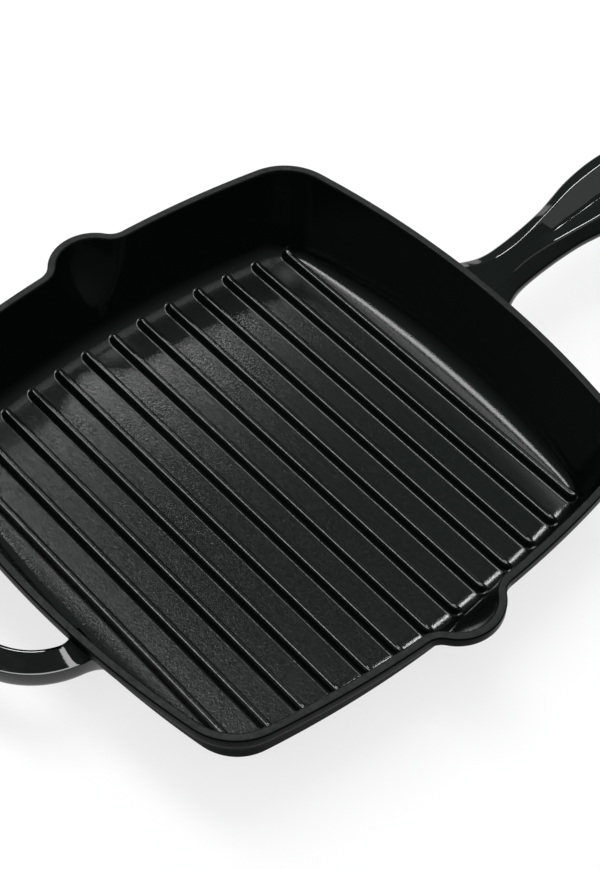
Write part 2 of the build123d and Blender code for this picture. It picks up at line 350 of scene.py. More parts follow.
# %% The pan's plan
HALF_LENGTH, HALF_WIDTH, PAN_HEIGHT = 130.0, 128.0, 47.3
SIDE_BOW, SPOUT_BOW, CORNER = 450.0, 505.0, 28.0
RIM_WIDTH, OVERHANG, BAND_FOOT, RIM_EDGE = 3.8, 0.6, 41.8, 0.9
OUTSIDE_DRAFT, INSIDE_DRAFT, SPOUT_ROOT = 19.0, 16.0, 20.5
SPOUT, REACH, BLEND = 21.0, 11.2, 9.0
FLOOR_TOP, PAD, INSIDE_ROUND, OUTSIDE_ROUND = 5.0, 0.8, 12.0, 10.0
SPOUT_LEAN = (PAN_HEIGHT - SPOUT_ROOT) * math.tan(math.radians(OUTSIDE_DRAFT))
LOW_CORNER = CORNER + OVERHANG + SPOUT_LEAN

side_centre = np.array([HALF_LENGTH - SIDE_BOW, 0])
back_centre = np.array([0, HALF_WIDTH - SPOUT_BOW])
spout_centre = np.array([0, HALF_WIDTH + REACH - SPOUT])


def meeting(a, ra, b, rb):
    gap = b - a
    length = np.hypot(*gap)
    along = (ra**2 - rb**2 + length**2) / (2 * length)
    across = math.sqrt(ra**2 - along**2)
    unit = gap / length
    normal = np.array([-unit[1], unit[0]])
    return max((a + unit * along + s * normal * across for s in (1, -1)), key=lambda p: p[0])


blend_centre = meeting(back_centre, SPOUT_BOW + BLEND, spout_centre, SPOUT + BLEND)
print("corner radius low on the wall:", round(LOW_CORNER, 2))
print("blend centre:", blend_centre.round(2))

# %% [markdown]
# A ring is a closed run of points round the pan. It is made of exact arcs, and every ring
# has the same number of points in the same order, so that faces can join any two of them.
# One quarter is worked out, and the other three are its mirror images.

# %% Rings round the pan
def bearing(start, end):
    return math.atan2(end[1] - start[1], end[0] - start[0])


def arc(centre, radius, start, end, steps):
    turn = np.linspace(start, end, steps + 1)[:-1]
    return centre + radius * np.stack([np.cos(turn), np.sin(turn)], 1)


ARC_STEPS = (26, 20, 34, 12, 14)
ROOT_STOPS = (5.8, 3.2, 0)
root_turns = [math.acos(x / (SPOUT_BOW - SPOUT_LEAN)) for x in ROOT_STOPS]


def quarter(inset, spouted, corner):
    """From the middle of the handle side to the middle of the spout side."""
    corner_centre = meeting(side_centre, SIDE_BOW - corner, back_centre, SPOUT_BOW - corner)
    side_turn = bearing(side_centre, corner_centre)
    back_turn = bearing(back_centre, corner_centre)
    parts = [arc(side_centre, SIDE_BOW - inset, 0, side_turn, ARC_STEPS[0])]
    parts += [arc(corner_centre, corner - inset, side_turn, back_turn, ARC_STEPS[1])]
    if spouted:
        leave = bearing(back_centre, blend_centre)
        parts += [arc(back_centre, SPOUT_BOW - inset, back_turn, leave, ARC_STEPS[2])]
        start = leave - math.pi
        meet = bearing(blend_centre, spout_centre)
        meet = meet - 2 * math.pi if meet > start else meet
        parts += [arc(blend_centre, BLEND + inset, start, meet, ARC_STEPS[3])]
        meet = bearing(spout_centre, blend_centre)
        parts += [arc(spout_centre, SPOUT - inset, meet, math.pi / 2, ARC_STEPS[4])]
        end = spout_centre + np.array([0, SPOUT - inset])
    else:
        stops = [back_turn] + root_turns
        for start, stop, steps in zip(stops, stops[1:], ARC_STEPS[2:]):
            parts += [arc(back_centre, SPOUT_BOW - inset, start, stop, steps)]
        end = back_centre + np.array([0, SPOUT_BOW - inset])
    return np.concatenate(parts + [end[None, :]])


def ring(inset, spouted=False, corner=LOW_CORNER):
    """A closed run of points round the pan, starting in the middle of the handle side."""
    first = quarter(inset, spouted, corner)
    half = np.concatenate([first, first[::-1][1:] * (-1, 1)])
    return np.concatenate([half, half[::-1][1:-1] * (1, -1)])


rim_steps = np.hypot(*np.diff(quarter(0, True, CORNER), axis=0).T)
print("points in a ring:", len(ring(0)), "largest step, mm:", rim_steps.max().round(2))

# %% [markdown]
# ## Bowl, spouts and rim
# The inside and the outside of the wall are two grids of points with the same rows and
# columns. A row is a ring round the pan at one height, and a spout swells out of the rings
# little by little on the way up. Any patch of the grid, closed round its border, is a piece.

# %% Rings up the wall
SWELL_SOFT, SWELL_POWER = 0.12, 1.7


def swell(height):
    """How far a spout has grown at a height: 0 low on the wall, 1 at the rim."""
    share = (height - SPOUT_ROOT) / (PAN_HEIGHT - SPOUT_ROOT)
    eased = share + math.sqrt(share**2 + SWELL_SOFT**2)
    grown = eased / (1 + math.sqrt(1 + SWELL_SOFT**2))
    return 1 - (1 - grown) ** SWELL_POWER


def wall_ring(depth, draft, height):
    """The ring at a height: depth is its place in from the rim's outside edge at the top."""
    low = ring(depth + (PAN_HEIGHT - height) * math.tan(math.radians(draft)))
    grown = low + (ring(depth, True, CORNER) - ring(depth)) * swell(height)
    return np.column_stack([grown, np.full(len(grown), height)])


middle_height = (SPOUT_ROOT + PAN_HEIGHT) / 2
print("a spout's growth half way up it:", round(swell(middle_height), 2))

# %% [markdown]
# At its foot the wall turns into the floor through a rounded corner. The corner gets tighter
# beside the ends of the ribs, where the flat floor reaches further out.

# %% Wall grids
WALL_ROWS, JOIN_ROWS, FOOT_STEPS = 24, 8, 14
FLOOR_SHARES = (0.97, 0.85, 0.6, 0.3, 0.02)
RIB_FIELD, FLOOR_RUN_OUT, FADE_END, FADE_SPAN = 87.0, 7.0, 52, 9


def foot_radii(radius, straight):
    """The radius at the wall's foot in each column, less where the flat floor runs out."""
    rim = ring(0)
    side = np.abs(np.degrees(np.arctan2(rim[:, 1], np.abs(rim[:, 0]))))
    spare = (np.abs(rim[:, 1]) / RIB_FIELD) ** 2 * straight
    fade = np.clip((FADE_END - side) / FADE_SPAN, 0, 1)
    return radius - np.clip(spare, 0, straight) * fade * fade * (3 - 2 * fade)


def rounded_foot(depth, draft, base, radii):
    """Rings of the rounded corner between the wall and the level at its foot."""
    rim, inward, lean = ring(0), ring(1) - ring(0), math.radians(draft)
    wall_foot = depth + (PAN_HEIGHT - base) * math.tan(lean)
    centre = wall_foot + radii * math.tan(math.pi / 4 - lean / 2)
    rings = []
    for angle in np.radians(np.linspace(90 - draft, 0, FOOT_STEPS + 1)):
        plan = rim + inward * (centre - radii * math.sin(angle))[:, None]
        rings.append(np.column_stack([plan, base + radii * (1 - math.cos(angle))]))
    return rings


def wall_side(depth, draft, base, radii):
    """All rows of one side of the wall, from under the rim band to the middle of the floor."""
    foot = rounded_foot(depth, draft, base, radii)
    heights = np.linspace(BAND_FOOT, SPOUT_ROOT, WALL_ROWS)
    rows = [wall_ring(depth, draft, height) for height in heights]
    shares = np.linspace(0, 1, JOIN_ROWS)[1:-1]
    rows += [rows[-1] + (foot[0] - rows[-1]) * share for share in shares]
    rows += foot + [foot[-1] * (share, share, 1) for share in FLOOR_SHARES]
    return np.array(rows)


inner = wall_side(RIM_WIDTH, INSIDE_DRAFT, FLOOR_TOP, foot_radii(INSIDE_ROUND, FLOOR_RUN_OUT))
outer = wall_side(OVERHANG, OUTSIDE_DRAFT, PAD, foot_radii(OUTSIDE_ROUND, 0.0))
print("wall grid, rows and columns:", inner.shape[:2])

# %% [markdown]
# Every piece but the ribs and the base pad becomes a mesh in the same way: smooth faces,
# with a crisp line only where two of them meet at more than 40 degrees.

# %% Make a mesh
SHARP = math.radians(40)


def make_object(name, points, faces, paints, kinds=None):
    """A piece from points in millimetres; kinds says which paint each face has."""
    mesh = bpy.data.meshes.new(name)
    mesh.from_pydata([tuple(p / 1000) for p in points], [], faces)
    for paint in paints:
        mesh.materials.append(paint)
    mesh.polygons.foreach_set("use_smooth", [True] * len(mesh.polygons))
    if kinds is not None:
        mesh.polygons.foreach_set("material_index", kinds)
    piece = bpy.data.objects.new(name, mesh)
    bpy.context.scene.collection.objects.link(piece)
    mesh.set_sharp_from_angle(angle=SHARP)
    return piece


print("meshes are crisp over", round(math.degrees(SHARP)), "degrees")

# %% [markdown]
# A patch has an inner face and an outer face for each of its cells. Wherever the cell beside
# it isn't in the patch, a face from inside to outside closes it, so each piece is solid.

# %% Close a patch of the wall
def closed_patch(name, chosen, last_ring=False):
    """The chosen cells of the wall grids as one closed piece."""
    rows, columns = inner.shape[:2]
    index = lambda side, j, i: side * rows * columns + j * columns + i % columns
    face = lambda side, corners: tuple(index(side, *corner) for corner in corners)
    faces, kinds = [], []
    for j in range(rows - 1):
        for i in range(columns):
            if not chosen(j, i):
                continue
            cell = [(j, i), (j, i + 1), (j + 1, i + 1), (j + 1, i)]
            faces += [face(0, cell), face(1, cell[::-1])]
            kinds += [0, 1]
            borders = [((j - 1, i), cell[1], cell[0]), ((j + 1, i), cell[3], cell[2])]
            borders += [((j, i - 1), cell[0], cell[3]), ((j, i + 1), cell[2], cell[1])]
            for beside, a, b in borders:
                inside = 0 <= beside[0] < rows - 1 and chosen(beside[0], beside[1] % columns)
                if not inside and beside[0] < rows - 1:
                    faces += [(index(0, *a), index(0, *b), index(1, *b), index(1, *a))]
                    kinds += [1]
    if last_ring:
        faces += [[index(0, rows - 1, i) for i in range(columns)]]
        faces += [[index(1, rows - 1, i) for i in range(columns)][::-1]]
        kinds += [0, 1]
    points = np.concatenate([inner.reshape(-1, 3), outer.reshape(-1, 3)])
    used = sorted({v for face in faces for v in face})
    place = {v: k for k, v in enumerate(used)}
    faces = [[place[v] for v in face] for face in faces]
    return make_object(name, points[used], faces, [satin, outside], kinds)

# %% [markdown]
# A spout is the patch between the ends of its blends, down to the spout's root. The bowl is
# everything else, with the middle of the floor closed by one last face on each side.

# %% Cut out the spouts and the bowl
quarter_columns = sum(ARC_STEPS)
spout_columns = ARC_STEPS[3] + ARC_STEPS[4]
spout_rows = WALL_ROWS - 1


def in_spout(side):
    middle = quarter_columns if side > 0 else 3 * quarter_columns
    first, last = middle - spout_columns, middle + spout_columns
    return lambda j, i: j < spout_rows and first <= i < last


left_spout = closed_patch("pour_spout_left_shell", in_spout(1))
right_spout = closed_patch("pour_spout_right_shell", in_spout(-1))
in_left, in_right = in_spout(1), in_spout(-1)
bowl = closed_patch("bowl", lambda j, i: not in_left(j, i) and not in_right(j, i), True)
wall_nodes = ("pour_spout_left", "pour_spout_right", "pan_body")
for piece, node in zip((left_spout, right_spout, bowl), wall_nodes):
    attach(piece, "root")
    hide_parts(node)
    print(piece.name, len(piece.data.polygons), "faces")

# %% [markdown]
# The rim is an upright band round the top of the wall, and it stands out from the wall a
# little. The enamel was wiped from its top, which is flat, dry and matte. Its outer face has
# a soft gloss and its inner face is satin, and all of its edges are a little rounded.

# %% Rim band
TOP_SHARES, INNER_LEVELS = (0.4, 0.55, 0.7), (45.2, 43.5, BAND_FOOT)
ON_TOP, ON_LIP, ON_INSIDE = 0, 1, 2
LIP_STEPS, TOP_STEPS, INSIDE_STEPS = 11, 8, 7


def rim_rings():
    """Rings once round the band's cross-section, and the finish of each step between them."""
    turns = [math.radians(a) for a in (0, 15, 30, 45, 60, 75, 90)]
    rim_ring = lambda inset: ring(inset, True, CORNER)
    level = lambda inset, z: np.column_stack([rim_ring(inset), np.full(len(ring(0)), z)])
    low, high = BAND_FOOT + RIM_EDGE, PAN_HEIGHT - RIM_EDGE
    round_in = [(1 - math.cos(a), math.sin(a)) for a in turns]
    rings = [level(RIM_EDGE * i, low - RIM_EDGE * z) for i, z in round_in[::-1]]
    rings += [level(RIM_EDGE * i, high + RIM_EDGE * z) for i, z in round_in]
    rings += [level(RIM_WIDTH * share, PAN_HEIGHT) for share in TOP_SHARES]
    inside = [(RIM_WIDTH - RIM_EDGE * i, high + RIM_EDGE * z) for i, z in round_in[::-1]]
    inside += [(RIM_WIDTH, z) for z in INNER_LEVELS]
    rings += [wall_ring(depth, INSIDE_DRAFT, z) for depth, z in inside]
    finishes = [ON_LIP] * LIP_STEPS + [ON_TOP] * TOP_STEPS + [ON_INSIDE] * INSIDE_STEPS
    return np.array(rings), finishes + [ON_LIP] * (len(rings) - len(finishes))


def rim_band():
    rings, finishes = rim_rings()
    rows, columns = rings.shape[:2]
    faces, kinds = [], []
    for j in range(rows):
        for i in range(columns):
            here, after = j * columns, (j + 1) % rows * columns
            k = (i + 1) % columns
            faces.append((here + i, here + k, after + k, after + i))
            kinds.append(finishes[j])
    return make_object("rim", rings.reshape(-1, 3), faces, [matte, lip, satin], kinds)


rim = rim_band()
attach(rim, "root")
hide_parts("rim_band")
print("rim", len(rim.data.polygons), "faces")

# %% [markdown]
# ## Ribs
# Thirteen straight ribs stand on the floor. They are all one shape: a flat crest, steep flanks
# and a bow at each end, and their feet are rounded into the floor. Geometry Nodes raise that
# shape from a block, point by point: each point looks straight down for the floor under it
# and is lifted by a height that depends on its distance from the rib's middle line.

# %% Short names for nodes
def link(tree, value, socket):
    if isinstance(value, bpy.types.NodeSocket):
        tree.links.new(value, socket)
    elif value is not None:
        socket.default_value = value


def sums(tree, operation, *values):
    node = tree.nodes.new("ShaderNodeMath")
    node.operation = operation
    for value, socket in zip(values, node.inputs):
        link(tree, value, socket)
    return node.outputs[0]


def group_input(tree, name, kind):
    tree.interface.new_socket(name, in_out="INPUT", socket_type=kind)

# %% [markdown]
# The crest and the foot of a rib are arcs, and the width of the two lines of light along it
# depends on their radii. So the profile is drawn first, as heights across the rib.

# %% The rib's profile
RIB_HEIGHT, FLAT, CREST_ROUND, FOOT_ROUND, FLANK = 3.9, 0.35, 1.4, 1.4, 78.0
ARC_POINTS, SPARE_REACH = 12, 0.1


def rib_profile():
    """Height against distance from the rib's middle line: flat, round, flank, round."""
    slope = math.radians(FLANK)
    points = [(0.0, RIB_HEIGHT)]
    for a in np.linspace(0, slope, ARC_POINTS):
        fallen = CREST_ROUND * (1 - math.cos(a))
        points.append((FLAT + CREST_ROUND * math.sin(a), RIB_HEIGHT - fallen))
    foot_top = FOOT_ROUND * (1 - math.cos(slope))
    run = (points[-1][1] - foot_top) / math.tan(slope)
    foot = points[-1][0] + run + FOOT_ROUND * math.sin(slope)
    for a in np.linspace(slope, 0, ARC_POINTS):
        points.append((foot - FOOT_ROUND * math.sin(a), FOOT_ROUND * (1 - math.cos(a))))
    return points


profile = rib_profile()
REACH_OF_RIB = profile[-1][0] + SPARE_REACH
print("rib half width at the foot, mm:", round(profile[-1][0], 2))

# %% [markdown]
# The points of a block that goes from -1 to 1 are spread over the rib's plan and crowd
# towards both ends. Past the straight crest, the way along the rib counts as distance from
# its middle line too, and that gives each end its bow.

# %% The rib's plan
RIB_SIZES = {"Middle": 0.0, "Half Length": 0.1, "Bow": 0.75, "Sink": 0.00003}
RIB_SIZES["Reach"] = REACH_OF_RIB / 1000
END_CROWDING = 2.6


def rib_plan(tree, across, along, size):
    """Where a point of the block goes, and its distance from the rib's middle line."""
    offset = sums(tree, "MULTIPLY", across, size["Reach"])
    from_end = sums(tree, "SUBTRACT", 1.0, sums(tree, "ABSOLUTE", along))
    eased = sums(tree, "POWER", from_end, END_CROWDING)
    bow = sums(tree, "DIVIDE", size["Reach"], size["Bow"])
    end = sums(tree, "ADD", size["Half Length"], bow)
    out = sums(tree, "MULTIPLY", end, sums(tree, "SUBTRACT", 1.0, eased))
    past = sums(tree, "MAXIMUM", sums(tree, "SUBTRACT", out, size["Half Length"]), 0.0)
    nose = sums(tree, "MULTIPLY", past, size["Bow"])
    squares = [sums(tree, "POWER", value, 2.0) for value in (offset, nose)]
    distance = sums(tree, "SQRT", sums(tree, "ADD", *squares))
    x = sums(tree, "ADD", offset, size["Middle"])
    y = sums(tree, "MULTIPLY", out, sums(tree, "SIGN", along))
    return x, y, distance


def profile_curve(tree, distance, reach):
    """The profile as a curve over distance divided by reach, back in metres."""
    curve = tree.nodes.new("ShaderNodeFloatCurve")
    line = curve.mapping.curves[0]
    stops = [(x / REACH_OF_RIB, z / RIB_HEIGHT) for x, z in profile] + [(1.0, 0.0)]
    line.points[0].location, line.points[1].location = stops[0], stops[-1]
    for x, z in stops[1:-1]:
        line.points.new(x, z)
    for point in line.points:
        point.handle_type = "VECTOR"
    curve.mapping.update()
    tree.links.new(sums(tree, "DIVIDE", distance, reach), curve.inputs["Value"])
    return sums(tree, "MULTIPLY", curve.outputs[0], RIB_HEIGHT / 1000)


print("sizes of a rib:", ", ".join(RIB_SIZES))

# %% [markdown]
# Each point then looks down for the floor. The block's upper points rise from there by the
# profile's height, less a hair, and its lower points are buried in the floor.

# %% The rib's tree
BLOCK_POINTS, LOOK_FROM, BURIED = (57, 97, 2), 0.04, 0.0012


def combined(tree, *values):
    node = tree.nodes.new("ShaderNodeCombineXYZ")
    for value, socket in zip(values, node.inputs):
        link(tree, value, socket)
    return node.outputs[0]


def floor_under(tree, x, y, pan):
    """The height of the pan's floor straight under a place in the plan."""
    target = tree.nodes.new("GeometryNodeObjectInfo")
    tree.links.new(pan, target.inputs["Object"])
    ray = tree.nodes.new("GeometryNodeRaycast")
    tree.links.new(target.outputs["Geometry"], ray.inputs["Target Geometry"])
    tree.links.new(combined(tree, x, y, LOOK_FROM), ray.inputs["Source Position"])
    ray.inputs["Ray Direction"].default_value = (0, 0, -1)
    ray.inputs["Ray Length"].default_value = 1.0
    hit = tree.nodes.new("ShaderNodeSeparateXYZ")
    tree.links.new(ray.outputs["Hit Position"], hit.inputs[0])
    return hit.outputs[2]


def rib_tree():
    tree = bpy.data.node_groups.new("grill_rib", "GeometryNodeTree")
    for name in RIB_SIZES:
        group_input(tree, name, "NodeSocketFloat")
    group_input(tree, "Pan", "NodeSocketObject")
    group_input(tree, "Finish", "NodeSocketMaterial")
    tree.interface.new_socket("Rib", in_out="OUTPUT", socket_type="NodeSocketGeometry")
    new, links = tree.nodes.new, tree.links.new
    size = new("NodeGroupInput").outputs
    block = new("GeometryNodeMeshCube")
    for axis, count in zip(("X", "Y", "Z"), BLOCK_POINTS):
        block.inputs["Vertices " + axis].default_value = count
    block.inputs["Size"].default_value = (2, 2, 2)
    place = new("ShaderNodeSeparateXYZ")
    links(new("GeometryNodeInputPosition").outputs[0], place.inputs[0])
    across, along, up = place.outputs
    x, y, distance = rib_plan(tree, across, along, size)
    floor_height = floor_under(tree, x, y, size["Pan"])
    foot = profile_curve(tree, distance, size["Reach"])
    lifted = sums(tree, "ADD", floor_height, sums(tree, "SUBTRACT", foot, size["Sink"]))
    sunk = sums(tree, "SUBTRACT", floor_height, BURIED)
    top = sums(tree, "GREATER_THAN", up, 0.0)
    upper = sums(tree, "MULTIPLY", lifted, top)
    lower = sums(tree, "MULTIPLY", sunk, sums(tree, "SUBTRACT", 1.0, top))
    height = sums(tree, "ADD", upper, lower)
    move = new("GeometryNodeSetPosition")
    links(block.outputs["Mesh"], move.inputs["Geometry"])
    links(combined(tree, x, y, height), move.inputs["Position"])
    smooth = new("GeometryNodeSetShadeSmooth")
    links(move.outputs[0], smooth.inputs["Geometry"])
    real = new("GeometryNodeRealizeInstances")
    links(smooth.outputs[0], real.inputs[0])
    paint = new("GeometryNodeSetMaterial")
    links(real.outputs[0], paint.inputs["Geometry"])
    links(size["Finish"], paint.inputs["Material"])
    links(paint.outputs[0], new("NodeGroupOutput").inputs[0])
    return tree


rib_maker = rib_tree()
rib_inputs = [item for item in rib_maker.interface.items_tree if item.in_out == "INPUT"]
rib_sockets = {item.name: item.identifier for item in rib_inputs}
print("rib inputs:", ", ".join(rib_sockets))

# %% [markdown]
# The first rib stands next to the long handle, and the others follow one pitch apart. The
# sides of the floor are bowed, so the outer ribs are a little shorter than the middle one.

# %% Raise the ribs
RIB_COUNT, RIB_PITCH, RIB_OFFSET = 13, 16.267, 0.8
LONGEST_CREST, CREST_BOW, NOSE_ROOM = 106.3, 948, 1.0
RIB_SHARP = math.radians(60)


def raise_rib(name, values):
    """One rib as a plain mesh: the tree is run on an empty mesh and its result is kept."""
    seed = bpy.data.objects.new(name + "_seed", bpy.data.meshes.new(name + "_seed"))
    bpy.context.scene.collection.objects.link(seed)
    maker = seed.modifiers.new("rib", "NODES")
    maker.node_group = rib_maker
    for key, value in values.items():
        maker[rib_sockets[key]] = value
    bpy.context.view_layer.update()
    graph = bpy.context.evaluated_depsgraph_get()
    mesh = bpy.data.meshes.new_from_object(seed.evaluated_get(graph))
    bpy.data.objects.remove(seed)
    mesh.name = name
    rib = bpy.data.objects.new(name, mesh)
    bpy.context.scene.collection.objects.link(rib)
    mesh.set_sharp_from_angle(angle=RIB_SHARP)
    return rib


for index in range(RIB_COUNT):
    middle = ((RIB_COUNT - 1) / 2 - index) * RIB_PITCH
    crest_end = LONGEST_CREST - middle**2 / CREST_BOW
    values = dict(RIB_SIZES, Pan=bowl, Finish=satin)
    values["Middle"] = (middle + RIB_OFFSET) / 1000
    values["Half Length"] = (crest_end - NOSE_ROOM) / 1000
    rib = raise_rib(f"rib_{index + 1:02d}", values)
    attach(rib, "root")
    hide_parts(f"grill_rib_{index + 1:02d}")
print("ribs raised:", RIB_COUNT, "faces each:", len(rib.data.polygons))

# %% [markdown]
# ## Long handle
# The handle leaves the wall under the rim, narrows to a neck and swells to a grip. Its top is
# dished between two crisp ridges, and its belly is round. It is built as a run of
# cross-sections. Each is drawn from a few widths and heights, which the lists below give in
# millimetres at places along X, or as a share of the half width.

# %% Handle lines
def through(x, pairs):
    """A smooth value at x, from pairs of place and value."""
    xs, values = (np.array(v, float) for v in zip(*pairs))
    slopes = np.gradient(values, xs)
    k = int(np.clip(np.searchsorted(xs, x) - 1, 0, len(xs) - 2))
    span = xs[k + 1] - xs[k]
    t = float(np.clip((x - xs[k]) / span, 0, 1))
    low = (1 + 2 * t) * (1 - t) ** 2 * values[k] + t * (1 - t) ** 2 * span * slopes[k]
    return low + t * t * (3 - 2 * t) * values[k + 1] + t * t * (t - 1) * span * slopes[k + 1]


HALF_WIDTHS = (
    (118, 24.0), (124, 22.6), (130, 19.8), (133, 17.5), (136, 16.0), (142, 13.7), (147, 12.8),
    (155, 12.4), (164, 12.5), (172, 12.9), (184, 14.2), (192, 15.9), (201, 17.8), (210, 18.8),
    (218, 19.1), (226, 18.6), (234, 17.1), (242, 14.8), (248, 12.6),
)
RIDGE_SHARES = (
    (118, 0.62), (140, 0.5), (155, 0.42), (170, 0.5), (180, 0.58), (225, 0.58), (240, 0.6),
    (256, 0.6),
)
DISH_DEPTHS = (
    (118, 0), (164, 0), (169, 0.5), (174, 1.5), (184, 2.1), (200, 2.8), (218, 3.0), (228, 1.8),
    (234, 0.1), (256, 0),
)
DROPS = ((118, 3.2), (140, 3.4), (165, 3.8), (180, 4.0), (256, 4.0))
HOLE_PLACE, END_ROUND, THICKNESS = 242.0, 14.0, 12.0
RISE = math.radians(8)
BEND_START, BEND_RADIUS, ROOT_TOP = 138, 90, 45.1
BEND_END = BEND_START + BEND_RADIUS * math.sin(RISE)
BEND_TOP = ROOT_TOP + BEND_RADIUS * (1 - math.cos(RISE))
BELLY_START, BELLY_RUN, BELLY_SAG = 186, 68, 4.2


def top_height(x):
    if x < BEND_START:
        return ROOT_TOP
    if x < BEND_END:
        return ROOT_TOP + BEND_RADIUS - math.sqrt(BEND_RADIUS**2 - (x - BEND_START) ** 2)
    return BEND_TOP + (x - BEND_END) * math.tan(RISE)


def belly_height(x):
    thick = THICKNESS / math.cos(RISE)
    if x >= BELLY_START:
        return top_height(x) - thick
    left = BELLY_START - x
    sag = BELLY_SAG * (left / BELLY_RUN) ** 2
    return top_height(BELLY_START) - thick - left * math.tan(RISE) - sag


print("top of the handle at its hole, mm:", round(top_height(HOLE_PLACE), 2))

# %% [markdown]
# Each corner of a section is rounded by an exact arc. A point a little way off each end of
# the arc keeps the flats beside it flat.

# %% Handle sections
LARGEST_CUT, GUARD = 0.46, 0.12
DISH_FLAT, SIDE_WIDTH, SIDE_FALL, BELLY_FLAT, LEAST_DISH = 0.06, 0.97, 0.4, 0.42, 0.02
LAST_WIDTH, END_START = 248, 244
WALL_MIDDLE, ROOT_SAMPLE, UPRIGHT = 1.7, 130, 136


def rounded_line(corners):
    """Points along a line through corners of (across, height, radius, steps), corners rounded."""
    points = [np.array(corners[0][:2])]
    for before, corner, after in zip(corners, corners[1:], corners[2:]):
        here, radius, steps = np.array(corner[:2]), corner[2], corner[3]
        back, ahead = np.array(before[:2]) - here, np.array(after[:2]) - here
        room = min(np.hypot(*back), np.hypot(*ahead)) * LARGEST_CUT
        back, ahead = back / np.hypot(*back), ahead / np.hypot(*ahead)
        half = math.acos(float(np.clip(back @ ahead, -0.9999, 0.9999))) / 2
        reach = min(radius / math.tan(half), room)
        radius = reach * math.tan(half)
        middle = here + (back + ahead) / np.hypot(*(back + ahead)) * radius / math.sin(half)
        first, last = here + back * reach - middle, here + ahead * reach - middle
        turn = math.pi - 2 * half
        side = math.copysign(1, first[0] * last[1] - first[1] * last[0])
        points.append(here + back * (reach + room * GUARD))
        for a in np.linspace(0, turn, steps) * side:
            c, q = math.cos(a), math.sin(a)
            turned = (first[0] * c - first[1] * q, first[0] * q + first[1] * c)
            points.append(middle + np.array(turned))
        points.append(here + ahead * (reach + room * GUARD))
    return points + [np.array(corners[-1][:2])]


def handle_section(x):
    """Points once round the handle at x, from the middle of the dish."""
    wide = through(min(x, LAST_WIDTH), HALF_WIDTHS)
    top, belly = top_height(x), belly_height(x)
    if x > END_START:
        wide = min(wide, math.sqrt(max(END_ROUND**2 - (x - HOLE_PLACE) ** 2, 0)))
    ridge = wide * through(x, RIDGE_SHARES)
    dish, drop = max(through(x, DISH_DEPTHS), 0) + LEAST_DISH, through(x, DROPS)
    side = top - drop - ((top - belly) - drop) * SIDE_FALL
    corners = [(0, top - dish, 0, 0), (wide * DISH_FLAT, top - dish, 6.0, 6)]
    corners += [(ridge, top, 2.2, 8), (wide, top - drop, 3.0, 9)]
    corners += [(wide * SIDE_WIDTH, side, 4.0, 6), (wide * BELLY_FLAT, belly, 7.0, 8)]
    corners += [(0, belly, 0, 0)]
    right = rounded_line(corners)
    left = [(-u, z) for u, z in right[::-1][1:-1]]
    return [(x, u, z) for u, z in right + left]


def inside_wall(across, height):
    """How far out from the pan's middle a handle may start: half way through the wall."""
    lean = math.tan(math.radians(OUTSIDE_DRAFT))
    bow = across**2 / (2 * SIDE_BOW)
    return HALF_LENGTH - WALL_MIDDLE - (PAN_HEIGHT - height) * lean - bow


def root_section(share):
    """A section near the root: share 0 follows the wall, and share 1 is upright."""
    section = []
    for k, (x, across, height) in enumerate(handle_section(ROOT_SAMPLE)):
        start = inside_wall(across, height)
        section.append(handle_section(start + (UPRIGHT - start) * share)[k])
    return section


print("points in a section:", len(handle_section(HOLE_PLACE)))

# %% [markdown]
# The first sections lean with the wall they start in. The last ones get narrower and lower,
# so that the end is round.

# %% Build the long handle
ROOT_STEPS, GRIP_STEPS = 14, 87
END_TURNS = (6, 12, 20, 28, 36, 44, 52, 60, 67, 73, 79, 84, 88)
SQUASH_START, SQUASH_RUN, LEAST_SQUASH = 250, 6, 0.02


def skin(name, sections, paint):
    """A piece over a run of closed sections, with a flat face at each end."""
    rows, columns = len(sections), len(sections[0])
    faces = [tuple(range(columns))]
    for j in range(rows - 1):
        here, after = j * columns, (j + 1) * columns
        for i in range(columns):
            k = (i + 1) % columns
            faces.append((here + k, here + i, after + i, after + k))
    faces.append(tuple(range((rows - 1) * columns, rows * columns))[::-1])
    points = np.array([point for section in sections for point in section])
    return make_object(name, points, faces, [paint])


def squashed(x, section):
    """The section at x, pressed towards its middle height where the end is round."""
    near_end = (x - SQUASH_START) / SQUASH_RUN
    if near_end <= 0:
        return section
    squash = math.sqrt(max(1 - near_end**2, LEAST_SQUASH))
    middle = (top_height(x) + belly_height(x)) / 2
    return [(px, py, middle + (pz - middle) * squash) for px, py, pz in section]


def long_handle():
    stations = list(np.linspace(UPRIGHT, HOLE_PLACE, GRIP_STEPS))[1:]
    stations += [HOLE_PLACE + END_ROUND * math.sin(a) for a in np.radians(END_TURNS)]
    sections = [root_section(share) for share in np.linspace(0, 1, ROOT_STEPS)]
    sections += [squashed(x, handle_section(x)) for x in stations]
    return skin("handle", sections, gloss)


handle = long_handle()
print("handle", len(handle.data.polygons), "faces")

# %% [markdown]
# The hanging hole goes square through the end of the grip.

# %% Drill the hanging hole
HOLE_SHARP = math.radians(50)


def drill(piece, place, tilt, radius, depth):
    pin = bpy.data.meshes.new("pin")
    shape = bmesh.new()
    size = {"radius1": radius, "radius2": radius, "depth": depth}
    bmesh.ops.create_cone(shape, cap_ends=True, segments=64, **size)
    shape.to_mesh(pin)
    pin.transform(Matrix.Translation(place) @ Matrix.Rotation(tilt, 4, "Y"))
    cutter = bpy.data.objects.new("pin", pin)
    bpy.context.scene.collection.objects.link(cutter)
    cut = piece.modifiers.new("hole", "BOOLEAN")
    cut.operation, cut.object, cut.solver = "DIFFERENCE", cutter, "EXACT"
    graph = bpy.context.evaluated_depsgraph_get()
    drilled = bpy.data.meshes.new_from_object(piece.evaluated_get(graph))
    piece.modifiers.clear()
    piece.data = drilled
    bpy.data.objects.remove(cutter)
    drilled.set_sharp_from_angle(angle=HOLE_SHARP)


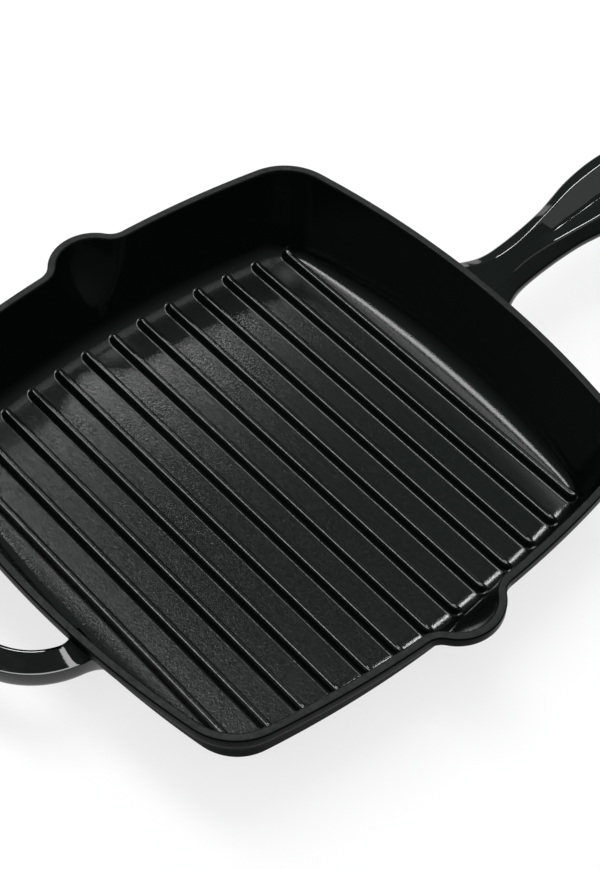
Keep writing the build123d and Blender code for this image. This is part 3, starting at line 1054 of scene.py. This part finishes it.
hole = Vector((HOLE_PLACE, 0, top_height(HOLE_PLACE))) / 1000
drill(handle, hole, tilt=-RISE, radius=0.006, depth=0.06)
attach(handle, "root")
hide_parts("long_handle")
print("drilled handle", len(handle.data.polygons), "faces")

# %% [markdown]
# ## Helper handle
# A half ring opposite the long handle. Its bar is a rectangle in section, with a crisp outer
# top edge and a round underside.

# %% The bar's section
LOOP_CENTRE, LOOP_MIDDLE, LOOP_LEVEL = (-121.0, 0.0), 36.4, 30.5
BAR_WIDTH, BAR_HEIGHT = 12.8, 11.6
OUTER_EDGE, INNER_EDGE, UNDER_ROUND, GUARD_STEP = 0.4, 2.2, 5.4, 0.5
EDGE_STEPS, ROUND_STEPS = 3, 7


def bar_section(half_wide, half_high):
    """Once round the bar: crisp outer top edge, softer inner one, round underside."""
    corners = [(1, 1, 0, OUTER_EDGE, EDGE_STEPS), (-1, 1, 90, INNER_EDGE, ROUND_STEPS)]
    corners += [(-1, -1, 180, UNDER_ROUND, ROUND_STEPS), (1, -1, 270, UNDER_ROUND, ROUND_STEPS)]
    points = []
    for cx, cz, start, corner, steps in corners:
        wide, high = cx * (half_wide - corner), cz * (half_high - corner)
        for a in np.radians(np.linspace(start, start + 90, steps)):
            points.append((wide + corner * math.cos(a), high + corner * math.sin(a)))
        if start == 0:
            points.append((wide - GUARD_STEP, half_high))
            points.append((INNER_EDGE + GUARD_STEP - half_wide, half_high))
    return points


print("points round the bar:", len(bar_section(BAR_WIDTH / 2, BAR_HEIGHT / 2)))

# %% [markdown]
# The section is carried round the loop. Near the wall it flares to the sides like a fillet
# and its top climbs a little, as the casting does where the bar runs into the wall.

# %% Bend the helper loop
FLARE, FLARE_SHARE, INNER_FLARE, LEAST_LEFT, WALL_COVER = 9.0, 0.62, 4.5, 0.05, 1.1
CLIMB_START, CLIMB_SLOPE, CLIMB_SOFT = 5.5, 0.4, 1.0
END_ANGLE, JOINT_ANGLE, TURN_ANGLE = 90.5, 91.5, 112
JOINT_STEPS, TURN_STEPS = 30, 69


def fillet_rise(distance, radius):
    """How far a fillet has risen, from the distance still left to the wall."""
    t = radius - float(np.clip(distance, LEAST_LEFT, radius))
    return radius - math.sqrt(radius**2 - t**2)


def bar_ring(angle):
    """The bar's section at an angle round the loop; it swells towards the wall."""
    outward = np.array([math.cos(angle), math.sin(angle)])
    points = []
    for u, z in bar_section(BAR_WIDTH / 2, BAR_HEIGHT / 2):
        place = np.array(LOOP_CENTRE) + (LOOP_MIDDLE + u) * outward
        left = -WALL_COVER - inside_wall(place[1], LOOP_LEVEL + z) - place[0]
        flare = -fillet_rise(left, INNER_FLARE)
        if u > 0:
            flare = fillet_rise(left, FLARE) * FLARE_SHARE
        place = place + outward * flare * abs(u) / (BAR_WIDTH / 2)
        climb = CLIMB_START - max(left, 0.0)
        rise = CLIMB_SLOPE * (climb + math.hypot(climb, CLIMB_SOFT)) if z > 0 else 0.0
        points.append([*place, LOOP_LEVEL + z + rise * z / (BAR_HEIGHT / 2)])
    return points


def helper_loop():
    near = list(np.linspace(JOINT_ANGLE, TURN_ANGLE, JOINT_STEPS))
    turn = list(np.linspace(TURN_ANGLE, 360 - TURN_ANGLE, TURN_STEPS))[1:-1]
    angles = near + turn + [360 - angle for angle in near[::-1]]
    ends = [bar_ring(math.radians(angle)) for angle in (END_ANGLE, 360 - END_ANGLE)]
    for point in ends[0] + ends[1]:
        point[0] = -inside_wall(point[1], point[2])
    bars = [bar_ring(angle) for angle in np.radians(angles)]
    return skin("helper_loop", [ends[0], *bars, ends[1]], gloss)


loop = helper_loop()
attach(loop, "root")
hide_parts("helper_handle")
print("helper loop", len(loop.data.polygons), "faces")

# %% [markdown]
# ## Base pad
# The ground flat under the floor keeps its CAD shape and gets a worn, matte finish.

# %% Paint the base pad
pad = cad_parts["base_pad"]
pad.data.materials.clear()
pad.data.materials.append(ground)
print("base pad painted:", pad.data.materials[0].name)
